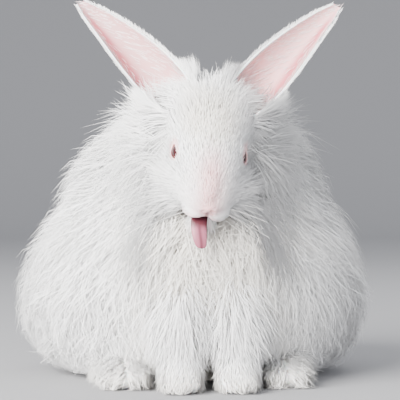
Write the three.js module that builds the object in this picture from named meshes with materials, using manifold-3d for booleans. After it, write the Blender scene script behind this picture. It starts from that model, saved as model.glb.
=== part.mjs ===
// A life-size still model of a white angora rabbit, sitting upright and facing the viewer with its ears
// spread in a V and its tongue out. Millimetres, +Z up, the rabbit faces -Y, its own left side is +X.
// The origin is on the floor, under the middle of the whole animal.
import * as THREE from "three";
import { mergeVertices } from "three/addons/utils/BufferGeometryUtils.js";
import Module from "manifold-3d";

const wasm = await Module();
wasm.setup();

// Driving sizes. Angles are in degrees.
const meetingGap = 0.4; // between neighbouring pieces
const lockGap = 1.1; // between a lock and a neighbour's
const wallGap = 0.34; // between a lock and the wall of a neighbour's core, so that no two cuts coincide
const coreShare = 0.5; // how far out from the skin towards the wool's tips the core of the coat reaches
const bodyYaw = 5; // the chest is turned a little towards the rabbit's left
const bodyShift = 2; // and the body sits a little to that side of the head
const head = { x: 9.5, y: -93, z: 190, pitch: 50, roll: 4.4, yaw: 5 }; // the skull's centre and its tilt
const eye = { x: 21, y: -8, z: 6, radius: 8.6, lid: 1.9 };
const lidOpening = { out: 0.6, deep: 6, long: 7.6, tall: 5.4 };
const ear = {
  x: 24,
  y: 34,
  z: 14,
  length: 122,
  thickness: 2.6,
  thinning: 0.55, // the wall's share of that thickness at the tip
  bend: 20,
  halfWidths: [17, 19.5, 20, 19.5, 18, 15.5, 12.5, 9, 4],
  wraps: [128, 108, 94, 84, 76, 70, 64, 58, 50], // half the angle that the cup goes round
};
const earPose = {
  right: { side: -1, splay: 34, lean: 14, twist: 12 },
  left: { side: 1, splay: 33, lean: 14, twist: -12 },
};
const nose = { y: -53.5, z: -4, radii: [7, 5.2, 5] };
const nostril = { x: 4.2, y: -58.2, z: -4.5, radii: [3.6, 3.2, 1], slant: 38 };
const lip = { x: 8.2, y: -49, z: -11.5, radii: [9.6, 9.4, 8] };
const lipSplit = { y: -58.5, z: -10, radii: [0.9, 4.5, 6.5] };
const lipLine = { x: 13, y: -45, z: -17.5, radii: [8, 11, 0.9], turn: [14, 12, 30] };
const chin = { x: -1, y: -43, z: -24.5, radii: [9.5, 9, 5.5] };
const mouth = { x: -3.5, y: -54, z: -16.5, radii: [8.5, 16, 4.6] };
const tongue = { width: 12.5, thickness: 3.8 };
const foreleg = { x: 22.5, toes: { y: -115, z: 6.5, back: 3.4, spread: 8.2, radii: [5.4, 9, 7.4] } };
const hindFoot = {
  x: 65,
  toeY: -80,
  heelY: 34,
  toeIn: 7,
  sole: 0.42, // how far up its height the middle of the foot's round top is
  halves: [19, 21.5, 22, 21, 19, 16, 11],
  heights: [19, 24, 28, 31, 33, 33, 20],
  toes: { y: -81, z: 8, back: 3, spread: 9.6, radii: [6.4, 12, 9] },
};
const thigh = { x: 108, y: 56, z: 50, rx: 72, ry: 88, rz: 72 };
const neckCut = { y: -42, z: 148, tilt: 49 }; // the plane that parts the ruff from the torso
const tail = { y: 184, z: 48, rx: 38, ry: 30, rz: 38 };
const lock = {
  width: 62,
  ridge: 4,
  keel: 20,
  spacing: 62,
  fall: 0.235,
  root: 0.38,
  lift: 0.85, // above 1 the lock leaves the core late, below 1 early
  lowest: 0.1,
  vary: 0.14,
};
const cheek = { length: 34, lift: 22, width: 24, keel: 8, sunk: 5 };
const legWool = { y: -78, z: 66, root: 13, lift: 9, forward: 10, length: 34, width: 21, keel: 6 };
const coat = { rows: 7, top: 0.97, hem: 0.22, seed: 23 };

// Rings of the body from the floor up, at the wool's tips and at the skin: their height, half width, front
// and back.
const coatTips = [
  { z: 0, half: 84, front: -34, back: 122 },
  { z: 6, half: 121, front: -60, back: 168 },
  { z: 32, half: 150, front: -82, back: 187 },
  { z: 66, half: 157, front: -99, back: 197 },
  { z: 102, half: 149, front: -108, back: 192 },
  { z: 136, half: 130, front: -104, back: 170 },
  { z: 170, half: 113, front: -88, back: 132 },
  { z: 200, half: 97, front: -72, back: 84 },
  { z: 220, half: 72, front: -56, back: 36 },
  { z: 230, half: 34, front: -38, back: -4 },
  { z: 233, half: 2, front: -24, back: -20 },
];
const skin = [
  { z: 0, half: 50, front: -20, back: 85 },
  { z: 3, half: 66, front: -32, back: 104 },
  { z: 30, half: 82, front: -42, back: 122 },
  { z: 62, half: 86, front: -52, back: 130 },
  { z: 94, half: 80, front: -62, back: 126 },
  { z: 122, half: 66, front: -64, back: 108 },
  { z: 150, half: 52, front: -58, back: 76 },
  { z: 176, half: 44, front: -52, back: 38 },
  { z: 194, half: 36, front: -46, back: 12 },
  { z: 205, half: 18, front: -36, back: -10 },
  { z: 208, half: 1, front: -25, back: -23 },
];

// The head's rings from the back of the skull to the nose, along its own axis.
const headRings = [
  { y: 45, half: 15, top: 14, low: -5 },
  { y: 37, half: 27, top: 22, low: -15 },
  { y: 24, half: 32, top: 28.5, low: -26 },
  { y: 9, half: 32.5, top: 31, low: -32 },
  { y: -7, half: 30, top: 30, low: -33 },
  { y: -22, half: 26.5, top: 25.5, low: -31 },
  { y: -35, half: 22.5, top: 19, low: -27 },
  { y: -45, half: 19, top: 12.5, low: -23 },
  { y: -53, half: 14.5, top: 5.5, low: -18.5 },
  { y: -57.5, half: 7.5, top: -1, low: -11 },
];

// A foreleg's rings from the floor up: height, middle, half width and half depth.
const forelegRings = [
  { z: 0, y: -97, half: 15, deep: 18 },
  { z: 4, y: -97, half: 19.5, deep: 21.5 },
  { z: 14, y: -95, half: 20, deep: 20.5 },
  { z: 26, y: -89, half: 19, deep: 18 },
  { z: 42, y: -83, half: 18.5, deep: 18 },
  { z: 60, y: -78, half: 19, deep: 19 },
  { z: 78, y: -73, half: 18, deep: 18 },
  { z: 90, y: -70, half: 11, deep: 11 },
];

const mix = (a, b, share) => a + (b - a) * share;
const radians = THREE.MathUtils.degToRad;

// A smooth value through evenly spaced stations, at 0 to 1.
function through(values, at) {
  const last = values.length - 1;
  const place = Math.min(Math.max(at, 0), 1) * last;
  const i = Math.min(Math.floor(place), last - 1);
  const f = place - i;
  const [a, b, c, d] = [i - 1, i, i + 1, i + 2].map((k) => values[Math.min(Math.max(k, 0), last)]);
  return b + 0.5 * f * (c - a + f * (2 * a - 5 * b + 4 * c - d + f * (3 * (b - c) + d - a)));
}

// The named sizes of a table of rings, at 0 to 1 along it.
const sizesAt = (table, names, at) => names.map((name) => through(table.map((ring) => ring[name]), at));

// Seeded draws between -1 and 1, so that the coat is the same each time.
let drawn = coat.seed;
function draw() {
  drawn = (Math.imul(drawn, 1664525) + 1013904223) >>> 0;
  return drawn / 2147483648 - 1;
}

// A closed body through rings of equally many points, with its two ends drawn to their middles.
function loft(rings) {
  const around = rings[0].length;
  const middle = (ring) =>
    ring.reduce((sum, p) => sum.add(p), new THREE.Vector3()).divideScalar(ring.length);
  const points = [...rings.flat(), middle(rings[0]), middle(rings[rings.length - 1])];
  const faces = [];
  const start = points.length - 2;
  const end = points.length - 1;
  const top = (rings.length - 1) * around;
  for (let j = 0; j < around; j++) {
    const k = (j + 1) % around;
    for (let i = 0; i < rings.length - 1; i++) {
      const low = i * around;
      const high = low + around;
      faces.push(low + j, low + k, high + k, low + j, high + k, high + j);
    }
    faces.push(start, k, j, end, top + j, top + k);
  }
  return new THREE.BufferGeometry().setFromPoints(points).setIndex(faces);
}

// Rings made by a function of the share along (0 to 1) and the angle round, joined to a closed body.
function ringed(levels, around, pointAt) {
  const rings = [];
  for (let i = 0; i <= levels; i++) {
    const ring = [];
    for (let j = 0; j < around; j++) ring.push(pointAt(i / levels, (j / around) * 2 * Math.PI));
    rings.push(ring);
  }
  return solid(loft(rings));
}

// A closed geometry as a solid, whichever way round its faces were wound.
function solid(geometry) {
  const bare = geometry.clone();
  bare.deleteAttribute("normal");
  bare.deleteAttribute("uv");
  const merged = mergeVertices(bare, 1e-3);
  const make = (triVerts) =>
    new wasm.Manifold(
      new wasm.Mesh({ numProp: 3, vertProperties: merged.attributes.position.array, triVerts }),
    );
  const made = make(new Uint32Array(merged.index.array));
  return made.volume() > 0 ? made : make(new Uint32Array(merged.index.array).reverse());
}

const join = (solids) => wasm.Manifold.union(solids);
const moved = (body, matrix) => body.transform(matrix.elements);

const smallFaces = { wide: 10, high: 7 };

// An ellipsoid of a centre and three radii, with an optional turn in degrees.
function ball(centre, radii, { wide = 14, high = 10, turn = [0, 0, 0] } = {}) {
  const geometry = new THREE.SphereGeometry(1, wide, high);
  geometry.rotateX(Math.PI / 2).scale(...radii);
  geometry.applyMatrix4(
    new THREE.Matrix4().makeRotationFromEuler(new THREE.Euler(...turn.map((angle) => radians(angle)))),
  );
  return solid(geometry.translate(...centre));
}

// A solid's surface as a geometry.
function geometryOf(body) {
  const mesh = body.getMesh();
  const points = new Float32Array(mesh.numVert * 3);
  for (let i = 0; i < mesh.numVert; i++)
    points.set(mesh.vertProperties.subarray(i * mesh.numProp, i * mesh.numProp + 3), i * 3);
  const geometry = new THREE.BufferGeometry();
  geometry.setAttribute("position", new THREE.BufferAttribute(points, 3));
  return geometry.setIndex(new THREE.BufferAttribute(new Uint32Array(mesh.triVerts), 1));
}

// The largest closed surface of a solid, once points that all but coincide are one.
const largest = (body) =>
  solid(geometryOf(body))
    .decompose()
    .sort((a, b) => b.volume() - a.volume())[0];

// A point of the body, at a share of its height, an angle about it (0 in front, a quarter turn on the
// rabbit's left) and a share of the way from the skin out to the wool's tips.
function bodyPoint(up, angle, depth) {
  const names = ["z", "half", "front", "back"];
  const outer = sizesAt(coatTips, names, up);
  const [z, half, front, back] = sizesAt(skin, names, up).map((size, i) => mix(size, outer[i], depth));
  const s = Math.sin(angle);
  const c = Math.cos(angle);
  return new THREE.Vector3(half * s, (front + back) / 2 - (c * (back - front)) / 2, Math.max(z, 0));
}

const coreSolid = (grow) =>
  ringed(13, 26, (up, angle) => {
    const middle = bodyPoint(up, 0, coreShare).lerp(bodyPoint(up, Math.PI, coreShare), 0.5);
    const point = bodyPoint(up, angle, coreShare);
    const out = point.clone().sub(middle).setZ(0).normalize();
    return point.addScaledVector(out, grow).setZ(point.z + grow * (up > 0.6 ? 1 : 0));
  });

// A flat lock of wool: it leaves the core, bends over and lies along the coat to a soft tip.
// The path gives its middle line at 0 to 1, and side the way across its flat face.
function lockSolid({ path, side, width, keel }, grow) {
  const widths = [0.85, 1, 0.74, 0.08];
  const heights = [1, 1, 0.7, 0.14];
  const ahead = path(1).sub(path(0)).normalize();
  const across = side.clone().addScaledVector(ahead, -side.dot(ahead)).normalize();
  const out = ahead.clone().cross(across);
  const step = 1 / (widths.length - 1);
  const ends = { 0: path(0).sub(path(step)).normalize(), 1: path(1).sub(path(1 - step)).normalize() };
  return ringed(widths.length - 1, 4, (f, angle) => {
    const high = Math.sin(angle);
    return path(f)
      .addScaledVector(ends[f] ?? ahead, f in ends ? 1.5 * grow : 0)
      .addScaledVector(across, Math.cos(angle) * ((width / 2) * through(widths, f) + grow))
      .addScaledVector(out, high * ((high > 0 ? lock.ridge : keel) * through(heights, f) + grow));
  });
}

// The head, with lips, nostrils, lids and the open mouth, in its own frame.
function headPoint(along, angle, grow) {
  const [y, half, top, low] = sizesAt(headRings, ["y", "half", "top", "low"], along);
  const s = Math.sin(angle);
  const c = Math.cos(angle);
  return new THREE.Vector3(
    (half + grow) * s,
    y + grow * (1 - 2 * along),
    (top + low) / 2 + (c * (top - low)) / 2 + grow * c,
  );
}

// A rounded form at a named place, mirrored for a side if one is given.
const rounded = ({ x = 0, y, z, radii }, grow = 0, side = 1) =>
  ball([side * x, y, z], radii.map((radius) => radius + grow), smallFaces);

function headSolid(grow = 0) {
  const pieces = [
    ringed(14, 18, (along, angle) => headPoint(along, angle, grow)),
    rounded(nose, grow),
    rounded(chin, grow),
  ];
  for (const side of [-1, 1]) {
    const lid = Array(3).fill(eye.radius + eye.lid);
    pieces.push(rounded({ ...eye, radii: lid }, grow, side), rounded(lip, grow, side));
  }
  return join(pieces);
}

// What is cut out of the head: the mouth, the line of the lips, the split of the upper lip, the nostrils
// and the openings of the lids.
function headCuts() {
  const cuts = [rounded(mouth), rounded(lipSplit)];
  for (const side of [-1, 1]) {
    const { turn, radii } = lipLine;
    const opening = side * (eye.x + eye.radius + lidOpening.out);
    const lids = [lidOpening.deep, lidOpening.long, lidOpening.tall];
    cuts.push(
      ball([side * lipLine.x, lipLine.y, lipLine.z], radii, {
        ...smallFaces,
        turn: [turn[0], side * turn[1], side * turn[2]],
      }),
      ball([side * nostril.x, nostril.y, nostril.z], nostril.radii, {
        ...smallFaces,
        turn: [0, side * nostril.slant, 0],
      }),
      ball([opening, eye.y - 1, eye.z], lids, smallFaces),
      ball([side * eye.x, eye.y, eye.z], Array(3).fill(eye.radius + meetingGap)),
    );
  }
  return join(cuts);
}

// An ear on its own axis: the cup opens to -Y, the root is at the origin and the tip up +Z.
function earSolid(side, grow = 0) {
  const levels = 12;
  const across = 6;
  const rings = [];
  for (let i = 0; i <= levels; i++) {
    const f = i / levels;
    const half = through(ear.halfWidths, f) + grow;
    const wrap = radians(through(ear.wraps, f));
    const radius = half / Math.sin(Math.min(wrap, Math.PI / 2));
    const wall = ear.thickness * mix(1, ear.thinning, f) + 2 * grow;
    const place = (angle, r) =>
      new THREE.Vector3(
        Math.sin(angle) * r + side * ear.bend * f * f,
        Math.cos(angle) * r - radius * Math.cos(wrap) * 0.5,
        f * ear.length,
      );
    const angles = Array.from({ length: across + 1 }, (_, j) => mix(-wrap, wrap, j / across));
    const inner = Math.max(radius - wall, 0.3);
    rings.push([
      ...angles.map((angle) => place(angle, radius)),
      ...angles.reverse().map((angle) => place(angle, inner)),
    ]);
  }
  return solid(loft(rings));
}

// The tongue, in the head's frame: out of the mouth, a little to one side, and down over the lower lip.
function tongueSolid(grow = 0) {
  const path = new THREE.CatmullRomCurve3([
    new THREE.Vector3(-4, -42, -15.5),
    new THREE.Vector3(-5.5, -50, -16),
    new THREE.Vector3(-6, -58, -17.5),
    new THREE.Vector3(-4.5, -67, -21.5),
    new THREE.Vector3(-2, -75, -28),
  ]);
  return ringed(10, 10, (f, angle) => {
    const at = path.getPoint(f);
    const ahead = path.getTangent(f);
    const over = new THREE.Vector3(0, -ahead.z, ahead.y).normalize();
    const taper = Math.sqrt(Math.max(1 - Math.pow(f, 6), 0.06)) * mix(1, 0.8, f);
    const groove = Math.sin(angle) > 0.9 ? 0.45 : 1;
    return at
      .addScaledVector(ahead, (f - 0.5) * 2 * grow)
      .add(new THREE.Vector3(Math.cos(angle) * ((tongue.width / 2) * taper + grow), 0, 0))
      .addScaledVector(over, Math.sin(angle) * ((tongue.thickness / 2) * taper * groove + grow));
  });
}

// Four toes side by side, the outer ones set back a little.
const toes = (x, { y, z, back, spread, radii }, grow) =>
  [-1.5, -0.5, 0.5, 1.5].map((place) =>
    ball(
      [x + place * spread, y + Math.abs(place) * back, z],
      radii.map((radius) => radius + grow),
      { wide: 6, high: 4 },
    ),
  );

// A foreleg: an upright column of wool that ends in a paw of four toes on the floor.
function forelegSolid(side, grow = 0) {
  const column = ringed(10, 12, (up, angle) => {
    const [z, y, half, deep] = sizesAt(forelegRings, ["z", "y", "half", "deep"], up);
    return new THREE.Vector3(
      side * foreleg.x + Math.sin(angle) * (half + grow),
      y - Math.cos(angle) * (deep + grow),
      up === 0 ? 0 : z + (up === 1 ? grow : 0),
    );
  });
  return join([column, ...toes(side * foreleg.x, foreleg.toes, grow)]).trimByPlane([0, 0, 1], 0);
}

// A hind foot, flat on the floor beside the forepaws, broad at its four toes.
function hindFootSolid(side, grow = 0) {
  const turned = side * Math.tan(radians(hindFoot.toeIn));
  const sole = ringed(8, 12, (f, angle) => {
    const y = mix(hindFoot.toeY - grow, hindFoot.heelY + grow, f);
    const middle = side * hindFoot.x + (y - hindFoot.toeY) * turned;
    return new THREE.Vector3(
      middle + Math.sin(angle) * (through(hindFoot.halves, f) + grow),
      y,
      Math.max(mix(-Math.cos(angle), 1, hindFoot.sole), 0) * (through(hindFoot.heights, f) + grow),
    );
  });
  return join([sole, ...toes(side * hindFoot.x, hindFoot.toes, grow)]).trimByPlane([0, 0, 1], 0);
}

// Everything is cut in the rabbit's frame, so the head, the ears and the body are turned into it.
const headMatrix = new THREE.Matrix4().compose(
  new THREE.Vector3(head.x, head.y, head.z),
  new THREE.Quaternion().setFromEuler(
    new THREE.Euler(radians(head.pitch), radians(head.roll), radians(head.yaw), "ZYX"),
  ),
  new THREE.Vector3(1, 1, 1),
);

function earMatrix({ side, splay, lean, twist }) {
  const root = new THREE.Vector3(side * ear.x, ear.y, ear.z).applyMatrix4(headMatrix);
  const turn = new THREE.Matrix4()
    .makeRotationY(radians(side * splay))
    .multiply(new THREE.Matrix4().makeRotationX(radians(-lean)))
    .multiply(new THREE.Matrix4().makeRotationZ(radians(twist)));
  return new THREE.Matrix4().makeTranslation(root.x, root.y, root.z).multiply(turn);
}

const yawMatrix = new THREE.Matrix4().makeRotationZ(radians(bodyYaw)).setPosition(bodyShift, 0, 0);
const cutNormal = new THREE.Vector3(0, -Math.sin(radians(neckCut.tilt)), Math.cos(radians(neckCut.tilt)));
const cutOffset = cutNormal.dot(new THREE.Vector3(0, neckCut.y, neckCut.z));

const thighCell = (side, grow) =>
  ball([side * thigh.x, thigh.y, thigh.z], [thigh.rx + grow, thigh.ry + grow, thigh.rz + grow]);
const tailCell = (grow) =>
  ball([0, tail.y, tail.z], [tail.rx + grow, tail.ry + grow, tail.rz + grow], smallFaces);

const inside = (p, x, { y, z, rx, ry, rz }) =>
  ((p.x - x) / rx) ** 2 + ((p.y - y) / ry) ** 2 + ((p.z - z) / rz) ** 2 < 1;

// The node that a root on the body's core belongs to.
function ownerOf(root) {
  if (cutNormal.dot(root) > cutOffset) return "neck";
  if (inside(root, 0, tail)) return "tail";
  if (inside(root, -thigh.x, thigh)) return "thigh_right";
  if (inside(root, thigh.x, thigh)) return "thigh_left";
  return "torso";
}

// The wool of the body in rows from the nape to the hem, each lock lying out and down over the next row.
const locks = { neck: [], torso: [], thigh_right: [], thigh_left: [], tail: [] };

function bodyLock(up, angle, share) {
  const fall = Math.min(share * lock.fall * (1 + lock.vary * draw()), up - lock.lowest);
  const drift = 0.16 * draw();
  const reach = 1 + 0.05 * draw();
  const path = (f) =>
    bodyPoint(
      up - fall * Math.pow(f, 1.4),
      angle + drift * f * f,
      mix(lock.root, reach, Math.pow(Math.sin((f * Math.PI) / 2), lock.lift)),
    );
  const at = up - fall / 2;
  const side = bodyPoint(at, angle + 0.1, 1).sub(bodyPoint(at, angle - 0.1, 1)).normalize();
  return {
    path,
    side,
    width: lock.width * (1 + lock.vary * draw()),
    keel: lock.keel,
  };
}

// Where the head and the legs stand, so that no lock grows into them.
const headRoom = new THREE.Matrix4().multiplyMatrices(headMatrix.clone().invert(), yawMatrix);
function blocked(p) {
  const inHead = p.clone().applyMatrix4(headRoom);
  if ((inHead.x / 40) ** 2 + ((inHead.y + 6) / 60) ** 2 + (inHead.z / 38) ** 2 < 1) return true;
  const nearLeg = Math.abs(p.x) < 48 && p.y < -50 && p.z < 72;
  const nearFoot = Math.abs(Math.abs(p.x) - hindFoot.x) < 30 && p.y < 0 && p.z < 36;
  return nearLeg || nearFoot;
}

for (let row = 0; row < coat.rows; row++) {
  const up = mix(coat.top, coat.hem, row / (coat.rows - 1));
  const [half, front, back] = sizesAt(coatTips, ["half", "front", "back"], up);
  const round = 2 * Math.PI * Math.sqrt((half ** 2 + ((back - front) / 2) ** 2) / 2) * 0.9;
  const count = Math.max(Math.round(round / lock.spacing), 3);
  for (let i = 0; i < count; i++) {
    const angle = ((i + 0.5 * (row % 2) + 0.12 * draw()) / count) * 2 * Math.PI;
    const clear = [1, 0.7, 0.45]
      .map((share) => bodyLock(up, angle, share))
      .find(({ path }) => ![0.3, 0.6, 0.85, 1].some((f) => blocked(path(f))));
    if (clear) locks[ownerOf(clear.path(0.3))].push(clear);
  }
}

// Shorter locks that lie down a surface: from a root along a lie, standing out by a lift.
const hangingLock = ({ root, out, lie, width, keel }) => ({
  path: (f) =>
    root.clone().addScaledVector(out, Math.sin((f * Math.PI) / 2)).addScaledVector(lie, Math.pow(f, 1.3)),
  side: out.clone().cross(lie).normalize(),
  width: width * (1 + lock.vary * draw()),
  keel,
});

// The wool of the cheeks, in the head's frame, swept back and down from behind the eyes.
const cheekLocks = [];
for (const side of [-1, 1]) {
  for (const [along, turn] of [[0.3, 88], [0.3, 122], [0.47, 104], [0.47, 138], [0.62, 122]]) {
    const root = headPoint(along, side * radians(turn), -cheek.sunk);
    const out = new THREE.Vector3(side, -0.1, -0.25).multiplyScalar(cheek.lift * (1 + lock.vary * draw()));
    const lie = new THREE.Vector3(side * 0.15, -0.2, -1).multiplyScalar(cheek.length);
    cheekLocks.push(hangingLock({ root, out, lie, width: cheek.width, keel: cheek.keel }));
  }
}

// The wool of the upper forelegs, hanging down in front and at the sides.
const legLocks = (side) =>
  [-12, 34, 80, 126].map((turn) => {
    const out = new THREE.Vector3(side * Math.sin(radians(turn)), -Math.cos(radians(turn)), 0);
    const root = new THREE.Vector3(side * foreleg.x, legWool.y, legWool.z);
    root.addScaledVector(out, legWool.root);
    const lie = new THREE.Vector3(0, -legWool.forward, -legWool.length);
    return hangingLock({
      root,
      out: out.clone().multiplyScalar(legWool.lift),
      lie,
      width: legWool.width,
      keel: legWool.keel,
    });
  });

const wool = (name, grow) => locks[name].map((one) => lockSolid(one, grow));

const materials = {
  wool: new THREE.MeshStandardMaterial({ color: 0xf2f0ee, roughness: 0.9, metalness: 0 }),
  shortFur: new THREE.MeshStandardMaterial({ color: 0xf4efec, roughness: 0.85, metalness: 0 }),
  earSkin: new THREE.MeshStandardMaterial({ color: 0xe8c4c0, roughness: 0.7, metalness: 0 }),
  eye: new THREE.MeshStandardMaterial({ color: 0x6a2a34, roughness: 0.1, metalness: 0 }),
  tongue: new THREE.MeshStandardMaterial({ color: 0xb5717f, roughness: 0.4, metalness: 0 }),
};

// The scene graph: the head, each ear and the body have groups of their own.
const group = new THREE.Group();

function groupAt(matrix, parent) {
  const made = new THREE.Group();
  parent.updateWorldMatrix(true, false);
  made.applyMatrix4(parent.matrixWorld.clone().invert().multiply(matrix));
  parent.add(made);
  made.updateWorldMatrix(true, false);
  return made;
}

const headGroup = groupAt(headMatrix, group);
const bodyGroup = groupAt(yawMatrix, group);

// A named mesh with its origin at a place in its group, from a solid in the rabbit's frame.
function addNode(name, body, material, parent, place = [0, 0, 0]) {
  const geometry = geometryOf(largest(body));
  geometry.applyMatrix4(parent.matrixWorld.clone().invert()).translate(...place.map((size) => -size));
  geometry.computeVertexNormals();
  const node = new THREE.Mesh(geometry, materials[material]);
  node.name = name;
  node.position.set(...place);
  parent.add(node);
}

// The head and what sits in it.
const tongueAt = (grow) => moved(tongueSolid(grow), headMatrix);
const earAt = (pose, grow) => moved(earSolid(pose.side, grow), earMatrix(pose));
const cheekWool = (grow) => cheekLocks.map((one) => lockSolid(one, grow));
const headGrown = moved(join([headSolid(meetingGap), ...cheekWool(lockGap)]), headMatrix);
const headWhole = join([headSolid(), ...cheekWool(0)]).subtract(headCuts());
const headNode = moved(headWhole, headMatrix).subtract(tongueAt(meetingGap));
addNode("head", headNode, "shortFur", headGroup);
addNode("tongue", tongueAt(0), "tongue", headGroup, [mouth.x, mouth.y, mouth.z]);
for (const [name, pose] of Object.entries(earPose)) {
  const centre = [pose.side * eye.x, eye.y, eye.z];
  const ballOfEye = moved(ball(centre, Array(3).fill(eye.radius)), headMatrix);
  addNode("eye_" + name, ballOfEye, "eye", headGroup, centre);
  const earGroup = groupAt(earMatrix(pose), headGroup);
  addNode("ear_" + name, earAt(pose, 0).subtract(headGrown), "earSkin", earGroup);
}
const headTaken = join([
  headGrown,
  tongueAt(meetingGap),
  ...Object.values(earPose).map((pose) => earAt(pose, meetingGap)),
]);

// The legs.
const legsTaken = [];
for (const [name, { side }] of Object.entries(earPose)) {
  const hanging = legLocks(side);
  const leg = (grow) => {
    const column = forelegSolid(side, Math.min(grow, meetingGap));
    return join([column, ...hanging.map((one) => lockSolid(one, grow))]);
  };
  addNode("foreleg_" + name, moved(leg(0), yawMatrix), "wool", bodyGroup, [
    side * foreleg.x,
    forelegRings[0].y,
    0,
  ]);
  addNode("hind_foot_" + name, moved(hindFootSolid(side), yawMatrix), "wool", bodyGroup, [
    side * hindFoot.x,
    hindFoot.toeY,
    0,
  ]);
  legsTaken.push(leg(lockGap), hindFootSolid(side, meetingGap));
}

// The body's core is made whole and parted by thin cuts, and each part carries its own locks. A part
// gives way to the grown form of every part before it.
function partedCore(grow, gap) {
  const whole = coreSolid(grow);
  const rest = whole.trimByPlane(cutNormal.clone().negate().toArray(), -cutOffset + gap);
  return {
    neck: whole.trimByPlane(cutNormal.toArray(), cutOffset + gap),
    torso: rest.subtract(join([thighCell(-1, gap), thighCell(1, gap), tailCell(gap)])),
    thigh_right: rest.intersect(thighCell(-1, -gap)),
    thigh_left: rest.intersect(thighCell(1, -gap)),
    tail: rest.intersect(tailCell(-gap)),
  };
}

const cores = partedCore(0, meetingGap / 2);
const grownCores = partedCore(meetingGap, meetingGap / 2 - wallGap);
const parts = Object.keys(cores);
let taken = join([moved(headTaken, yawMatrix.clone().invert()), ...legsTaken]);
for (const [place, name] of parts.entries()) {
  const others = parts.slice(place + 1).map((other) => grownCores[other]);
  const hair = join(wool(name, 0)).subtract(join([taken, ...others]));
  const body = join([cores[name].subtract(taken), hair]).trimByPlane([0, 0, 1], 0);
  addNode(name, moved(body, yawMatrix), "wool", bodyGroup);
  taken = join([taken, grownCores[name], ...wool(name, lockGap)]);
}

// The origin goes under the middle of the whole animal.
const box = new THREE.Box3().setFromObject(group, true);
const middle = box.getCenter(new THREE.Vector3());
group.position.set(-middle.x, -middle.y, -box.min.z);

export default group;
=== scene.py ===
import math

import bmesh
import bpy
import numpy as np
from mathutils import Matrix, Vector


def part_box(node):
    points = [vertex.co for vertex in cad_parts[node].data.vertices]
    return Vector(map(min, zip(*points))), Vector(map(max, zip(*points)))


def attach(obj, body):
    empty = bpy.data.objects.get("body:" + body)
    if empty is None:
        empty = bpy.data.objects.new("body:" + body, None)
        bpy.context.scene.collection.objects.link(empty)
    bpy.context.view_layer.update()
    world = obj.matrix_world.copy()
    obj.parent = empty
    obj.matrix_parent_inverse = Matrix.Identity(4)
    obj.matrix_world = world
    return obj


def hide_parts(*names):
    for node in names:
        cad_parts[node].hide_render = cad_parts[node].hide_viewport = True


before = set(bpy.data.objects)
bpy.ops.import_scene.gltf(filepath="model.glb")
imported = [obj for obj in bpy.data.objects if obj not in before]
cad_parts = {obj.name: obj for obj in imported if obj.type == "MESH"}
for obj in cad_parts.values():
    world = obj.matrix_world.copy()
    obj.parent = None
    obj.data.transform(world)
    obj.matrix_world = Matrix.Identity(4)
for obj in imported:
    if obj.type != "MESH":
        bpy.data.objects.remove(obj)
bpy.context.view_layer.update()
print("frame loaded")

mm = 0.001

# Places and rings are in the rabbit's own frame in millimetres: the floor at 0, its face towards -Y.
head = {"x": 9.5, "y": -93, "z": 190, "pitch": 50, "roll": 4.4, "yaw": 5}
eye = {
    "x": 21, "y": -8, "z": 6, "radius": 8.6, "lid": 1.7, "openDeep": 5.2, "openLong": 7.2, "openTall": 4.3,
    "ahead": 15, "raised": 20, "lidOut": 0.6, "room": 0.25, "shrink": 0.15,
}
bodyYaw = 5
bodyShift = 2

coatTips = {
    "z": [0, 6, 32, 66, 102, 136, 170, 200, 220, 230, 233],
    "half": [84, 121, 150, 157, 149, 130, 113, 97, 72, 34, 2],
    "front": [-34, -60, -82, -99, -108, -104, -88, -72, -56, -38, -24],
    "back": [122, 168, 187, 197, 192, 170, 132, 84, 36, -4, -20],
}
bareBody = {
    "z": [0, 3, 30, 62, 94, 122, 150, 176, 194, 205, 208],
    "half": [50, 66, 82, 86, 80, 66, 52, 44, 36, 18, 1],
    "front": [-20, -32, -42, -52, -62, -64, -58, -52, -46, -36, -25],
    "back": [85, 104, 122, 130, 126, 108, 76, 38, 12, -10, -23],
}
headRings = {
    "y": [45, 37, 24, 9, -7, -22, -35, -45, -53, -57.5],
    "half": [15, 27, 32, 32.5, 30, 26.5, 22.5, 19, 14.5, 7.5],
    "top": [14, 22, 28.5, 31, 30, 25.5, 19, 12.5, 5.5, -1],
    "low": [-5, -15, -26, -32, -33, -31, -27, -23, -18.5, -11],
}
forelegRings = {
    "z": [0, 4, 14, 26, 42, 60, 78, 90],
    "y": [-97, -97, -95, -89, -83, -78, -73, -70],
    "half": [15, 19.5, 20, 19, 18.5, 19, 18, 11],
    "deep": [18, 21.5, 20.5, 18, 18, 19, 18, 11],
}
foreleg = {"x": 22.5, "shrink": 3.5}
hindFoot = {
    "x": 65, "toeY": -80, "heelY": 34, "toeIn": 7, "shrink": 3,
    "half": [19, 21.5, 22, 21, 19, 16, 11],
    "high": [19, 24, 28, 31, 33, 33, 20],
    "middle": 0.42, "round": 0.58,
}
toes = {
    "fore": {"y": -113, "z": 7, "spread": 7.6, "radii": (4.6, 8, 6.6)},
    "hind": {"y": -79, "z": 8, "spread": 8.8, "radii": (5.2, 10, 7.6)},
    "places": (-1.5, -0.5, 0.5, 1.5), "curve": 3.2,
}
skinGrid = {"body": 3.2, "head": 1.1, "headCarved": 0.85}


def spline(values, at):  # a smooth value through evenly spaced stations, at 0 to 1
    v = np.asarray(values, float)
    last = len(v) - 1
    place = np.clip(at, 0, 1) * last
    i = np.minimum(place.astype(int), last - 1)
    f = place - i
    a, b, c, d = (v[np.clip(i + k, 0, last)] for k in (-1, 0, 1, 2))
    return b + 0.5 * f * (c - a + f * (2 * a - 5 * b + 4 * c - d + f * (3 * (b - c) + d - a)))


def moved(points, matrix):
    return points @ np.array(matrix.to_3x3()).T + np.array(matrix.translation)


def turned(directions, matrix):  # by the matrix without its scale
    return directions @ (np.array(matrix.to_3x3()) / mm).T


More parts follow.
